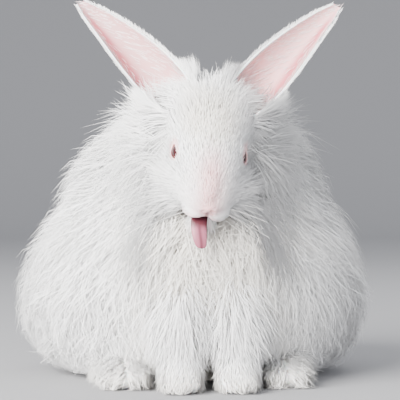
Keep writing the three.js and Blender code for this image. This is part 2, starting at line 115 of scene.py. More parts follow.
def rotation(angle, axis):
    return Matrix.Rotation(math.radians(angle), 4, axis)


def boxMiddle(node):
    low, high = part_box(node)
    return (Vector(low) + Vector(high)) / 2


# The solids stand centred under their own box, so the eyes give the shift from the rabbit's frame.
headTurn = rotation(head["yaw"], "Z") @ rotation(head["roll"], "Y") @ rotation(head["pitch"], "X")
headInFrame = Matrix.Translation((head["x"], head["y"], head["z"])) @ headTurn
eyesHere = (boxMiddle("eye_left") + boxMiddle("eye_right")) / 2
eyesThere = headInFrame @ Vector((0, eye["y"], eye["z"]))
shift = Vector((eyesHere.x, eyesHere.y, 0)) - Vector((eyesThere.x, eyesThere.y, 0)) * mm
toPart = Matrix.Translation(shift) @ Matrix.Scale(mm, 4)
headMatrix = toPart @ headInFrame
bodyInFrame = Matrix.Translation((bodyShift, 0, 0)) @ rotation(bodyYaw, "Z")
bodyMatrix = toPart @ bodyInFrame
print("shift from the rabbit's frame", [round(v, 4) for v in shift])


def bodyPoint(up, angle, depth):  # depth 0 is the bare skin, 1 the tips of the wool
    sizes = [
        (1 - depth) * spline(bareBody[name], up) + depth * spline(coatTips[name], up)
        for name in ("z", "half", "front", "back")
    ]
    z, half, front, back = sizes
    x = half * np.sin(angle)
    y = (front + back) / 2 - np.cos(angle) * (back - front) / 2
    return np.stack([x, y, np.maximum(z, 0)], -1)


def headPoint(along, angle):
    y, half, top, low = (spline(headRings[name], along) for name in ("y", "half", "top", "low"))
    z = (top + low) / 2 + np.cos(angle) * (top - low) / 2
    return np.stack([half * np.sin(angle), y, z], -1)


class Socket:  # a shader socket with arithmetic, so that a formula reads as one
    def __init__(self, tree, out=None):
        self.tree, self.out = tree, out

    def node(self, kind, values=None, output=0, **settings):
        made = self.tree.nodes.new(kind)
        for key, value in settings.items():
            setattr(made, key, value)
        for key, value in (values or {}).items():
            if isinstance(value, Socket):
                self.tree.links.new(value.out, made.inputs[key])
            else:
                made.inputs[key].default_value = value
        return Socket(self.tree, made.outputs[output])

    def maths(self, kind, first, second):
        return self.node("ShaderNodeMath", {0: first, 1: second}, operation=kind)

    def __add__(self, other):
        return self.maths("ADD", self, other)

    def __sub__(self, other):
        return self.maths("SUBTRACT", self, other)

    def __rsub__(self, other):
        return self.maths("SUBTRACT", other, self)

    def __mul__(self, other):
        return self.maths("MULTIPLY", self, other)

    __radd__ = __add__
    __rmul__ = __mul__

    def step(self, low, high):  # 0 below low, 1 above high, smooth between
        values = {"Value": self, "From Min": low, "From Max": high}
        return self.node("ShaderNodeMapRange", values, interpolation_type="SMOOTHSTEP")

    def mark(self, name):
        return self.node("ShaderNodeAttribute", output=2, attribute_name=name)

    def mix(self, share, low, high):
        pick = [(*colour, 1) if isinstance(colour, tuple) else colour for colour in (low, high)]
        return self.node("ShaderNodeMix", {0: share, 6: pick[0], 7: pick[1]}, output=2, data_type="RGBA")


# Meshes from arrays.

def newObject(name, mesh):
    made = bpy.data.objects.new(name, mesh)
    bpy.context.scene.collection.objects.link(made)
    return made


def meshFromRings(name, rings, matrix):  # rings: levels x around x 3, with a point at each end
    levels, around = rings.shape[:2]
    points = rings.reshape(-1, 3)
    faces = []
    for i in range(levels - 1):
        low = i * around
        for j in range(around):
            k = (j + 1) % around
            faces.append((low + j, low + k, low + around + k, low + around + j))
    points = np.vstack([points, rings[0].mean(0), rings[-1].mean(0)])
    first, last = levels * around, levels * around + 1
    top = (levels - 1) * around
    for j in range(around):
        k = (j + 1) % around
        faces.append((first, k, j))
        faces.append((last, top + j, top + k))
    mesh = bpy.data.meshes.new(name)
    mesh.from_pydata([tuple(p) for p in moved(points, matrix)], [], faces)
    made = newObject(name, mesh)
    recalc(made)
    return made


def recalc(piece):
    work = bmesh.new()
    work.from_mesh(piece.data)
    bmesh.ops.remove_doubles(work, verts=work.verts, dist=1e-6)
    bmesh.ops.recalc_face_normals(work, faces=work.faces)
    work.to_mesh(piece.data)
    work.free()


def ballAt(name, centre, radii, matrix, turn=(0, 0, 0), segments=40):
    work = bmesh.new()
    bmesh.ops.create_uvsphere(work, u_segments=segments, v_segments=segments // 2, radius=1)
    mesh = bpy.data.meshes.new(name)
    work.to_mesh(mesh)
    work.free()
    tilt = rotation(turn[2], "Z") @ rotation(turn[1], "Y") @ rotation(turn[0], "X")
    mesh.transform(matrix @ Matrix.Translation(centre) @ tilt @ Matrix.Diagonal((*radii, 1)))
    return newObject(name, mesh)


def joined(name, pieces):
    with bpy.context.temp_override(
        active_object=pieces[0], selected_objects=pieces, selected_editable_objects=pieces
    ):
        bpy.ops.object.join()
    pieces[0].name = name
    pieces[0].data.name = name
    return pieces[0]


def baked(piece):  # the evaluated shape as a plain mesh, with no modifier left
    deps = bpy.context.evaluated_depsgraph_get()
    mesh = bpy.data.meshes.new_from_object(piece.evaluated_get(deps))
    piece.modifiers.clear()
    piece.data = mesh
    return piece


def remeshed(piece, voxel, smooth):
    grid = piece.modifiers.new("grid", "REMESH")
    grid.mode = "VOXEL"
    grid.voxel_size = voxel
    soft = piece.modifiers.new("soft", "SMOOTH")
    soft.factor = 0.5
    soft.iterations = smooth
    baked(piece)
    piece.data.shade_smooth()
    return piece


def carved(piece, cutter):
    cut = piece.modifiers.new("cut", "BOOLEAN")
    cut.operation = "DIFFERENCE"
    cut.solver = "EXACT"
    cut.object = cutter
    baked(piece)
    bpy.data.objects.remove(cutter)
    return piece


def ringAngles(count):
    return np.arange(count) / count * 2 * math.pi


# The skin: body and limbs are one smooth form, the head a finer one that grows out of it.

def bodySkin():
    up, angle = np.meshgrid(np.linspace(0, 1, 60), ringAngles(80), indexing="ij")
    return meshFromRings("bodySkin", bodyPoint(up, angle, 0), bodyMatrix)


def forelegRing(side, up, angle, shrink):
    z, y, half, deep = (spline(forelegRings[name], up) for name in ("z", "y", "half", "deep"))
    x = side * foreleg["x"] + np.sin(angle) * (half - shrink)
    return np.stack([x, y - np.cos(angle) * (deep - shrink), z], -1)


def hindFootRing(side, along, angle, shrink):
    y = hindFoot["toeY"] + shrink + (hindFoot["heelY"] - hindFoot["toeY"]) * along
    half = spline(hindFoot["half"], along) - shrink
    high = spline(hindFoot["high"], along) - shrink
    x = side * (hindFoot["x"] + (y - hindFoot["toeY"]) * math.tan(math.radians(hindFoot["toeIn"])))
    up = np.maximum(hindFoot["middle"] - hindFoot["round"] * np.cos(angle), 0)
    return np.stack([x + np.sin(angle) * half, y, up * high], -1)


def toesAt(x, row):
    return [
        ballAt("toe", (x + place * row["spread"], row["y"] + abs(place) * toes["curve"], row["z"]),
               row["radii"], bodyMatrix, segments=20)
        for place in toes["places"]
    ]


def limbs():
    pieces = []
    up, angle = np.meshgrid(np.linspace(0, 1, 40), ringAngles(40), indexing="ij")
    for side in (-1, 1):
        leg = forelegRing(side, up, angle, foreleg["shrink"])
        pieces.append(meshFromRings("leg", leg, bodyMatrix))
        foot = hindFootRing(side, up, angle, hindFoot["shrink"])
        pieces.append(meshFromRings("foot", foot, bodyMatrix))
        pieces += toesAt(side * foreleg["x"], toes["fore"])
        pieces += toesAt(side * hindFoot["x"], toes["hind"])
    return pieces


mouth = {"x": -4.2, "y": -55, "z": -16.5, "half": 9.4, "depth": 17, "tall": 5.2}
mouthCentre = [mouth["x"], mouth["y"], mouth["z"]]
mouthSize = [mouth["half"], mouth["depth"], mouth["tall"]]
# Forms added to the skull and cut from it: centre (of a pair, the one towards +X), radii and turn.
faceForms = {
    "brow": ((eye["x"] - 3, eye["y"] + 1, eye["z"] + 8), (8, 13, 6)),
    "lip": ((7.6, -49.5, -11.5), (9.4, 9.6, 8)),
    "cheek": ((14, -22, -17), (12, 17, 11)),
    "nostrilWing": ((4.2, -55.5, -4.2), (3.6, 3.4, 3.6)),
}
middleForms = {
    "nose": ((0, -54, -3.2), (6.4, 5.2, 4.6), (0, 0, 0)),
    "bridge": ((0, -38, 11), (9, 18, 6), (24, 0, 0)),
    "chin": ((-1, -42, -25), (9, 9.5, 5.6), (0, 0, 0)),
}
lipSplit = {"centre": (0, -60, -10.5), "radii": (0.8, 4.2, 6.4)}
faceCuts = {
    "smile": ((12, -45, -17.5), (8, 11, 0.9), (14, 12, 30)),
    "nostril": ((4, -59.2, -4.2), (3.4, 3, 1.1), (0, 38, 0)),
}


def eyeCentre(side):
    return Vector((side * eye["x"], eye["y"], eye["z"]))


def lidTurn(side):  # from straight out to where the eye looks
    return rotation(-side * eye["ahead"], "Z") @ rotation(-side * eye["raised"], "Y")


def lidCentre(side):
    return eyeCentre(side) + lidTurn(side).to_3x3() @ Vector((side * (eye["radius"] + eye["lidOut"]), 0, 0))


lidPlaces = [lidCentre(side) for side in (-1, 1)]


def onSide(side, place):
    return (side * place[0], place[1], place[2])


def headSkin():
    along, angle = np.meshgrid(np.linspace(0, 1, 70), ringAngles(72), indexing="ij")
    pieces = [meshFromRings("skull", headPoint(along, angle), headMatrix)]
    for side in (-1, 1):
        pieces.append(ballAt("lid", eyeCentre(side), [eye["radius"] + eye["lid"]] * 3, headMatrix))
        for name, (centre, radii) in faceForms.items():
            pieces.append(ballAt(name, onSide(side, centre), radii, headMatrix))
    for name, (centre, radii, turn) in middleForms.items():
        pieces.append(ballAt(name, centre, radii, headMatrix, turn=turn))
    whole = remeshed(joined("headSkin", pieces), skinGrid["head"] * mm, 6)
    cutters = [
        ballAt("throat", mouthCentre, mouthSize, headMatrix),
        ballAt("split", lipSplit["centre"], lipSplit["radii"], headMatrix),
    ]
    for side in (-1, 1):
        for name, (centre, radii, (tilt, roll, yaw)) in faceCuts.items():
            cutters.append(ballAt(name, onSide(side, centre), radii, headMatrix,
                                  turn=(tilt, side * roll, side * yaw)))
        opening = (eye["openDeep"], eye["openLong"], eye["openTall"])
        cutters += [
            ballAt("opening", lidCentre(side), opening, headMatrix,
                   turn=(0, -side * eye["raised"], -side * eye["ahead"])),
            ballAt("socket", eyeCentre(side), [eye["radius"] + eye["room"]] * 3, headMatrix, segments=64),
        ]
    for cutter in cutters:
        carved(whole, cutter)
    return remeshed(whole, skinGrid["headCarved"] * mm, 2)


bodyPieces = [bodySkin(), *limbs()]
skin = remeshed(joined("bodySkin", bodyPieces), skinGrid["body"] * mm, 6)
print("body skin", len(skin.data.polygons))
skinHead = headSkin()
print("head skin", len(skinHead.data.polygons))

# The ears are cups with a thin wall, each with its own skin.

ear = {
    "x": 24, "y": 34, "z": 14, "length": 122, "bend": 20, "wall": 2.2,
    "half": [17, 19.5, 20, 19.5, 18, 15.5, 12.5, 9, 4],
    "wrap": [128, 108, 94, 84, 76, 70, 64, 58, 50],
    "thin": 0.45, "shell": 0.42, "shellThin": 0.5,
}
earPose = {
    -1: {"splay": 34, "lean": 14, "twist": 12},
    1: {"splay": 33, "lean": 14, "twist": -12},
}


def earMatrix(side):
    pose = earPose[side]
    root = headInFrame @ Vector((side * ear["x"], ear["y"], ear["z"]))
    turn = rotation(side * pose["splay"], "Y") @ rotation(-pose["lean"], "X") @ rotation(pose["twist"], "Z")
    return toPart @ Matrix.Translation(root) @ turn


def halfWall(up):
    return ear["wall"] * 0.5 * (1 - ear["thin"] * up)


def earRing(up):  # how far the cup wraps round, and its radius
    wrap = np.radians(spline(ear["wrap"], up))
    return wrap, spline(ear["half"], up) / np.sin(np.minimum(wrap, math.pi / 2))


# A point of the ear's wall: across goes from -1 to 1 between the rims, lift outwards from the middle.
def earPoint(side, up, across, lift):
    wrap, radius = earRing(up)
    angle = across * wrap
    reach = radius - halfWall(up) + lift
    x = np.sin(angle) * reach + side * ear["bend"] * up * up
    y = np.cos(angle) * reach - radius * np.cos(wrap) * 0.5
    return np.stack([x, y, up * ear["length"]], -1)


def earSkin(side):
    across = 36
    rings = []
    for up in np.linspace(0, 0.995, 70):
        thick = ear["wall"] * ear["shell"] * (1 - ear["shellThin"] * up)
        over = np.linspace(-1, 1, across)
        outer = earPoint(side, np.full(across, up), over, np.full(across, thick))
        inner = earPoint(side, np.full(across, up), over[::-1], np.full(across, -thick))
        rings.append(np.vstack([outer, inner]))
    made = meshFromRings("earSkin", np.array(rings), earMatrix(side))
    made.data.shade_smooth()
    return made


# Tufts: each is a thin three-sided hair of wool that tapers to its tip, closed at the root.

tuft = {"sides": [(-0.5, -0.2), (0.5, -0.2), (0, 0.4)], "patch": 0.003, "soft": 0.9}


def tuftPoints(paths, across, width, taper):
    rings = paths.shape[1] - 1
    ahead = paths[:, -1] - paths[:, 0]
    across = across - ahead * (across * ahead).sum(1, keepdims=True) / (ahead * ahead).sum(1, keepdims=True)
    across /= np.linalg.norm(across, axis=1, keepdims=True) + 1e-12
    out = np.cross(ahead, across)
    out /= np.linalg.norm(out, axis=1, keepdims=True) + 1e-12
    wide = (width[:, None] * np.asarray(taper)[None, :rings])[:, :, None]
    ring = [
        paths[:, :rings] + wide * (a * across[:, None, :] + o * out[:, None, :])
        for a, o in tuft["sides"]
    ]
    body = np.stack(ring, 2).reshape(len(paths), rings * 3, 3)
    return np.concatenate([body, paths[:, -1:]], 1)


def tuftFaces(rings):  # the corners of one tuft's quads and triangles
    quads, tris = [], [(0, 2, 1)]
    for i in range(rings - 1):
        for j in range(3):
            k = (j + 1) % 3
            quads.append((i * 3 + j, i * 3 + k, (i + 1) * 3 + k, (i + 1) * 3 + j))
    last = (rings - 1) * 3
    tip = rings * 3
    tris += [(last + j, last + (j + 1) % 3, tip) for j in range(3)]
    return quads, tris


def tuftPiece(name, paths, across, width, taper, rootUv, marks, outward):
    count, steps = paths.shape[:2]
    rings = steps - 1
    points = tuftPoints(paths, across, width, taper)
    each = points.shape[1]
    quads, tris = tuftFaces(rings)
    base = (np.arange(count) * each)[:, None]
    loops = np.concatenate([base + np.ravel(quads).astype(int)[None], base + np.ravel(tris)[None]], 1)
    sizes = np.tile([4] * len(quads) + [3] * len(tris), count)
    mesh = bpy.data.meshes.new(name)
    mesh.vertices.add(count * each)
    mesh.vertices.foreach_set("co", points.astype(np.float32).ravel())
    mesh.loops.add(loops.size)
    mesh.loops.foreach_set("vertex_index", loops.astype(np.int32).ravel())
    mesh.polygons.add(sizes.size)
    starts = np.concatenate([[0], np.cumsum(sizes)[:-1]]).astype(np.int32)
    mesh.polygons.foreach_set("loop_start", starts)
    mesh.update(calc_edges=True)
    mesh.shade_smooth()
    along = np.concatenate([np.repeat(np.linspace(0, 1, steps)[:rings], 3), [1]])
    marks = {mark: np.repeat(values, each) for mark, values in marks.items()}
    marks["along"] = np.tile(along, count)
    for mark, values in marks.items():
        mesh.attributes.new(mark, "FLOAT", "POINT").data.foreach_set("value", values.astype(np.float32))
    inPatch = np.stack([np.append(np.tile([-0.5, 0.5, 0], rings), 0), along - 0.5], 1) * tuft["patch"]
    # every tuft keeps its small patch inside the sheet
    uv = (np.clip(rootUv, 0.002, 0.998)[:, None, :] + inPatch[None]).reshape(-1, 2)
    layer = mesh.uv_layers.new(name="OFBake")
    layer.data.foreach_set("uv", uv[loops.ravel()].astype(np.float32).ravel())
    # shading leans towards the coat's own direction, so that the wool reads as one soft mass
    own = np.zeros(count * each * 3)
    mesh.vertices.foreach_get("normal", own)
    lean = np.repeat(outward, each, axis=0)
    shading = own.reshape(-1, 3) * (1 - tuft["soft"]) + lean * tuft["soft"]
    shading /= np.linalg.norm(shading, axis=1, keepdims=True) + 1e-9
    mesh.normals_split_custom_set_from_vertices(shading)
    piece = newObject(name, mesh)
    coatPieces.append(piece)
    print(name, count, "tufts")
    return piece


coatPieces = []
random = np.random.default_rng(7)


def around(spread, count):
    return random.uniform(-spread, spread, count)


def smooth(value):
    value = np.clip(value, 0, 1)
    return value * value * (3 - 2 * value)


def risen(value, start, over):  # 0 up to start, 1 past the stretch after it
    return smooth((value - start) / over)


def faded(value, end, over):  # 1 before the stretch that leads to end, 0 past it
    return smooth((end - value) / over)


def unit(v):
    return v / (np.linalg.norm(v, axis=-1, keepdims=True) + 1e-12)


def folded(angle):  # the same angle between -pi and pi, 0 at the chest
    return (angle + math.pi) % (2 * math.pi) - math.pi


def hairWidth(look, count):
    return look["width"] * mm * (0.7 + 0.6 * random.random(count))


# The long wool: wisps of hairs over the bell of the body.
wool = {
    "wisps": 3600, "hairs": 13, "spread": 10.5, "gather": 0.34, "root": 0.3, "width": 0.7,
    "fall": 0.18, "vary": 0.35, "drift": 0.2, "reach": 0.87, "frizz": 3.8, "folds": 0.04,
    "strays": 0.08, "frontShare": 0.45, "sweep": 0.42, "lift": 0.72, "low": 0.14, "high": 0.995,
    "steps": [0, 0.4, 0.75, 1], "taper": [0.8, 1, 0.6, 0], "shortened": (1, 0.75, 0.5, 0.3),
}
# Where none of it goes: the head's ellipsoid, the space before the legs and the space over the feet.
noWool = {
    "head": [44, 60, 42], "headAt": [0, 0.1, 0.05],
    "legs": {"x": 0, "half": 40, "front": -62, "high": 46},
    "feet": {"x": hindFoot["x"], "half": 18, "front": -52, "high": 17},
    "floor": 2.5, "lowest": 1.5,
}


def evenSpots(count, low, high):  # spread by area over the body, with more of them in front
    rows, columns = 160, 200
    up, angle = np.meshgrid(
        np.linspace(low, high, rows), np.linspace(0, 2 * math.pi, columns), indexing="ij"
    )
    p = bodyPoint(up, angle, 0.6)
    area = np.linalg.norm(np.cross(np.diff(p, axis=0)[:, :-1], np.diff(p, axis=1)[:-1]), axis=-1)
    area *= 1 + wool["frontShare"] * np.cos(angle[:-1, :-1])
    chosen = random.choice(area.size, count, p=(area / area.sum()).ravel())
    i, j = np.unravel_index(chosen, area.shape)
    stepUp = (high - low) / (rows - 1)
    stepAngle = 2 * math.pi / (columns - 1)
    return low + (i + random.random(count)) * stepUp, (j + random.random(count)) * stepAngle


def blocked(points):
    inHead = moved(points, headInFrame.inverted() @ bodyInFrame)
    found = ((inHead / noWool["head"] + noWool["headAt"]) ** 2).sum(-1) < 1
    x, y, z = np.abs(points[..., 0]), points[..., 1], points[..., 2]
    for box in (noWool["legs"], noWool["feet"]):
        found |= (np.abs(x - box["x"]) < box["half"]) & (y < box["front"]) & (z < box["high"])
    return found | (z < noWool["floor"])


def woolPath(up, angle, fall, drift, lift, root, reach, steps):
    f = np.asarray(steps)[None, :]
    u = up[:, None] - fall[:, None] * f ** 1.4
    a = angle[:, None] + drift[:, None] * f * f
    depth = root + (reach[:, None] - root) * np.sin(f * math.pi / 2) ** lift[:, None]
    return u, a, depth


def shortened(paths):  # a hair that would run into the head or the legs ends sooner, or is left out
    last = paths.shape[1] - 1
    keep = np.zeros(len(paths), bool)
    final = paths.copy()
    for share in wool["shortened"]:
        at = np.linspace(0, share, last + 1) * last
        low = np.minimum(at.astype(int), last - 1)
        mixed = paths[:, low] + (paths[:, low + 1] - paths[:, low]) * (at - low)[None, :, None]
        clear = ~blocked(mixed[:, 1:]).any(1) & ~keep
        final[clear] = mixed[clear]
        keep |= clear
    final[..., 2] = np.maximum(final[..., 2], noWool["lowest"])
    return final, keep


def bodyWool():
    steps = np.asarray(wool["steps"])
    count = wool["wisps"]
    up, angle = evenSpots(count, wool["low"], wool["high"])
    fall = wool["fall"] * (1 + around(wool["vary"], count))
    fall = np.minimum(fall, np.maximum(up - 0.07, 0.03))
    # beside the neck and shoulders the wisps sweep back more than they fall
    turn = folded(angle)
    beside = risen(up, 0.42, 0.3) * smooth(np.abs(turn) / 0.5) * faded(np.abs(turn), 2.1, 0.8)
    drift = around(wool["drift"], count) + np.sign(turn) * beside * wool["sweep"]
    fall *= 1 - 0.35 * beside
    reach = wool["reach"] + random.normal(0, 0.045, count)
    reach += wool["folds"] * (np.sin(5 * angle + 1) * np.sin(11 * up) + np.sin(9 * angle + 7 * up))
    stray = random.random(count) < wool["strays"]
    reach += stray * random.uniform(0.02, 0.16, count)
    fall *= 1 - 0.5 * stray
    lift = wool["lift"] + around(0.14, count)
    # each wisp holds hairs that start apart and gather towards its tip
    hairs = wool["hairs"]
    up, angle, fall, drift, lift, reach = (
        np.repeat(values, hairs) for values in (up, angle, fall, drift, lift, reach)
    )
    total = len(up)
    radius = wool["spread"] * np.sqrt(random.random(total))
    turn = random.uniform(0, 2 * math.pi, total)
    grow = 1 + random.normal(0, 0.13, total)
    reach = np.minimum(reach * (1 + 0.09 * np.minimum(grow - 1, 0.6)), 1.1)
    u, a, depth = woolPath(up, angle, fall * grow, drift, lift, wool["root"], reach, steps)
    apart = 1 - wool["gather"] * steps[None, :] ** 1.5
    half = spline(coatTips["half"], up)
    u = u + (radius * np.cos(turn))[:, None] * apart / 330
    a = a + (radius * np.sin(turn) / np.maximum(half, 18))[:, None] * apart
    paths = bodyPoint(np.clip(u, 0.02, 1), a, depth)
    for k, rate in enumerate((2.3, 4.1)):
        wave = random.normal(0, wool["frizz"] / (k + 1), (total, 1, 3))
        phase = random.uniform(0, 6, (total, 1, 1))
        paths += wave * np.sin(steps[None, :, None] * rate + phase) * steps[None, :, None]
    paths, keep = shortened(paths)
    tint = np.repeat(random.random(count), hairs) * 0.6 + random.random(total) * 0.4
    return paths[keep], tint[keep], angle[keep], up[keep]


# Short fluff between the wisps: it stands out more than it lies, and fills the gaps they leave.
fluff = {
    "tufts": 22000, "root": 0.55, "reach": 0.88, "vary": 0.07, "fall": 0.05, "sway": 0.05, "drift": 0.1,
    "frizz": 2.4, "width": 0.55, "low": 0.1, "high": 0.99, "steps": [0, 0.5, 1], "taper": [0.9, 0.8, 0],
}


def bodyFluff():
    steps = np.asarray(fluff["steps"])
    count = fluff["tufts"]
    up, angle = evenSpots(count, fluff["low"], fluff["high"])
    fall = np.minimum(fluff["fall"] + random.normal(0, fluff["sway"], count), up - 0.05)
    drift = random.normal(0, fluff["drift"], count)
    reach = fluff["reach"] + random.normal(0, fluff["vary"], count)
    u, a, depth = woolPath(up, angle, fall, drift, np.full(count, 0.85), fluff["root"], reach, steps)
    paths = bodyPoint(np.clip(u, 0.02, 1), a, depth)
    wave = random.normal(0, fluff["frizz"], (count, 1, 3))
    paths += wave * np.sin(steps[None, :, None] * 2.6)
    paths[..., 2] = np.maximum(paths[..., 2], noWool["lowest"])
    keep = ~blocked(paths).any(1)
    return paths[keep], random.random(keep.sum()), angle[keep], up[keep]


def outwardFor(paths):  # away from the middle of the body
    return unit((paths.mean(1) - [0, 45, 70]) / [1, 1, 0.9])


def addBodyWool(grown, look, names):
    paths, tint, angle, up = grown
    outward = outwardFor(paths)
    across = unit(np.cross(paths[:, -1] - paths[:, 0], outward))
    across = turned(across + random.normal(0, 0.35, across.shape), bodyMatrix)
    outward = turned(outward, bodyMatrix)
    paths = moved(paths, bodyMatrix)
    rootUv = np.stack([(angle / (2 * math.pi)) % 1, up], 1) * 0.99
    stain = faded(np.abs(folded(angle)), 0.62, 0.5) * faded(up, 0.8, 0.25)
    share = 2 * math.pi / len(names)
    part = ((angle + share / 2) // share).astype(int) % len(names)
    for k, name in enumerate(names):
        own = part == k
        width = look["width"] * mm * (0.8 + 0.5 * random.random(own.sum()))
        tuftPiece(name, paths[own], across[own], width, look["taper"], rootUv[own],
                  {"tint": tint[own], "stain": stain[own]}, outward[own])


addBodyWool(bodyWool(), wool, ["woolChest", "woolLeft", "woolRumpLeft", "woolRumpRight", "woolRight"])
addBodyWool(bodyFluff(), fluff, ["fluffFront", "fluffBack"])


# The fur of the face, ears and legs, the cheeks and the ruff grow from the skins.

def read(items, key, kind=float):
    values = np.zeros(len(items) * 3, kind)
    items.foreach_get(key, values)
    return values.reshape(-1, 3)


def pointsOf(piece):
    return read(piece.data.vertices, "co")


def rootsOn(piece, count, weigh):
    mesh = piece.data
    mesh.calc_loop_triangles()
    corners = read(mesh.loop_triangles, "vertices", int)
    tri = pointsOf(piece)[corners]
    triNormals = read(mesh.vertices, "normal")[corners]
    area = np.linalg.norm(np.cross(tri[:, 1] - tri[:, 0], tri[:, 2] - tri[:, 0]), axis=1)
    weight = area * weigh(tri.mean(1), triNormals.mean(1))
    chosen = random.choice(len(area), count, p=weight / weight.sum())
    a, b = random.random((2, count))
    over = a + b > 1
    a, b = np.where(over, 1 - a, a), np.where(over, 1 - b, b)
    share = np.stack([1 - a - b, a, b], 1)[:, :, None]
    normal = (triNormals[chosen] * share).sum(1)
    return (tri[chosen] * share).sum(1), unit(normal)


def lyingPaths(root, normal, lie, length, lift, drop, steps, frizz):
    lie = unit(lie - normal * (lie * normal).sum(1, keepdims=True))
    f = np.asarray(steps)[None, :, None]
    size = length[:, None, None]
    paths = root[:, None] + size * (
        lie[:, None] * f + normal[:, None] * lift[:, None, None] * np.sin(f * math.pi / 2)
    )
    paths[..., 2] -= size[..., 0] * drop[:, None] * f[..., 0] ** 2
    wave = random.normal(0, 1, (len(root), 1, 3)) * frizz * size
    paths += wave * f * f
    return paths, np.cross(lie, normal)


def inHeadFrame(points):
    return moved(points, headMatrix.inverted())


headDirections = np.array(headTurn.to_3x3())


def near(points, centre, radii=1):
    return np.linalg.norm((points - np.array(centre)) / radii, axis=-1)


def nearer(points, places, radii=1):  # to the nearer of two places
    return np.minimum(*(near(points, place, radii) for place in places))


def headUv(p):
    return np.stack([np.arctan2(p[:, 0], p[:, 2]) / (2 * math.pi) + 0.5, (45 - p[:, 1]) / 104], 1)


def lipSeam(p):  # under 1 on the line where the lips meet, where painted shade darkens the crease
    return near(p, [3.5, -55, -17], [13.5, 6.5, 3])


# Marks in the head's frame: how pink and creamy the skin is and where shade is painted on it, and how pink
# and creamy its fur.
def headMarks(p):
    bridge = np.exp(-(p[:, 0] / 11) ** 2) * faded(p[:, 1], -12, 30) * risen(p[:, 2], -12, 8)
    leather = smooth(1.5 - near(p, [0, -58.5, -4.5], [7.5, 5.5, 6.5]))
    rims = faded(nearer(p, lidPlaces, [7.5, 8.8, 6.6]), 1.45, 0.4)
    lips = smooth(1.9 - near(p, [mouth["x"], -57, mouth["z"]], [10.5, 9, 5.8]))
    # painted shade: the mouth's opening, the split of the upper lip and the seam where the lips meet are
    # painted dark
    inside = faded(near(p, [mouth["x"], mouth["y"] + 1, mouth["z"]], mouthSize), 1.1, 0.12)
    slit = faded(near(p, [0, -58, -10.5], [1.3, 4.6, 6.6]), 1.35, 0.5)
    seam = faded(lipSeam(p), 1.15, 0.3)
    cream = smooth(1.5 - near(p, [-2, 5, 30], [22, 26, 16]))
    pink = np.clip(np.maximum.reduce([1.1 * bridge, leather, 0.8 * rims, 0.7 * lips]), 0, 1)
    return {"pink": pink, "paintedShade": np.maximum.reduce([inside, 0.6 * slit, 0.85 * seam]), "stain": cream}


def fromHeadBack(paths):  # the way the wool round the head faces, away from a point behind the face
    return unit(paths.mean(1) - np.array(headMatrix @ Vector((0, 46, -22))))


faceFur = {
    "tufts": 16500, "short": 2.2, "long": 6.5, "cheek": 36, "crown": 11, "chin": 6, "byEar": 15,
    "width": 0.72, "longFrom": 12, "taper": [0.8, 0.95, 0.55, 0], "shortTaper": [0.9, 0.7, 0],
}


def headZones(p):
    toNose = near(p, [0, -58, -6], 1)
    side = np.abs(p[:, 0])
    cheek = risen(side, 9, 11) * faded(p[:, 2], 9, 14) * risen(toNose, 13, 18)
    cheek *= risen(nearer(p, lidPlaces), 9, 20)
    crown = risen(p[:, 1], 14, 16) * risen(p[:, 2], -4, 14)
    chin = faded(p[:, 2], -14, 8) * faded(p[:, 1], -24, 14)
    throat = faded(p[:, 2], -10, 12) * risen(p[:, 1], -34, 18)
    return toNose, cheek, crown, chin, throat


def inMouth(p):
    gape = near(p, mouthCentre, [mouth["half"] + 1, mouth["depth"], mouth["tall"] + 0.8])
    return (gape < 1.12) | (near(p, [0, -58, -10.5], [1.6, 4.8, 6.8]) < 1.05)


def furAllowed(p):
    leather = near(p, [0, -59, -4.5], [6.6, 4.5, 5])
    lids = nearer(p, lidPlaces, [7.2, 8.4, 6.2])
    return ~inMouth(p) & (leather > 1) & (lids > 1) & (lipSeam(p) > 1.25)


